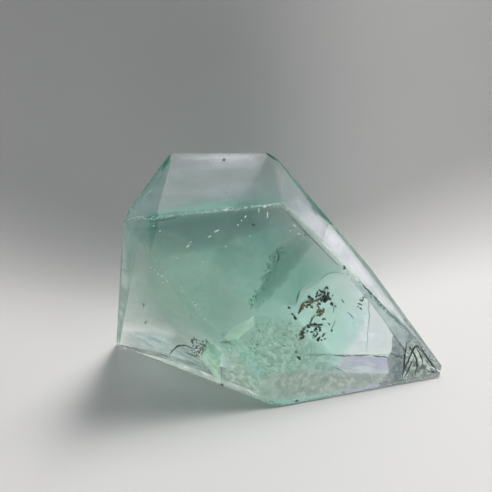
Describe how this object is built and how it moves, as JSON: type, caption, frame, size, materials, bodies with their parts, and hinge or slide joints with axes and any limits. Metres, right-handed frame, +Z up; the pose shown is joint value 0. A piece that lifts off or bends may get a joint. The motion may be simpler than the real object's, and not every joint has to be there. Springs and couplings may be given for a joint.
{
  "type": "polished fluorite crystal",
  "caption": "Clear green fluorite freeform with flat polished facets and a low pointed end, standing on its flat base as a display piece.",
  "frame": {"origin": "centre of the bounding box at the height of the base", "axes": "+Z up, +X toward the low pointed end, -Y out of the side with the large front facet"},
  "size_m": [0.0602, 0.0194, 0.0417],
  "materials": {
    "fluorite": "polished clear green crystal, slightly worn edges"
  },
  "bodies": {
    "root": {"fluorite_crystal": "fluorite"}
  },
  "joints": []
}
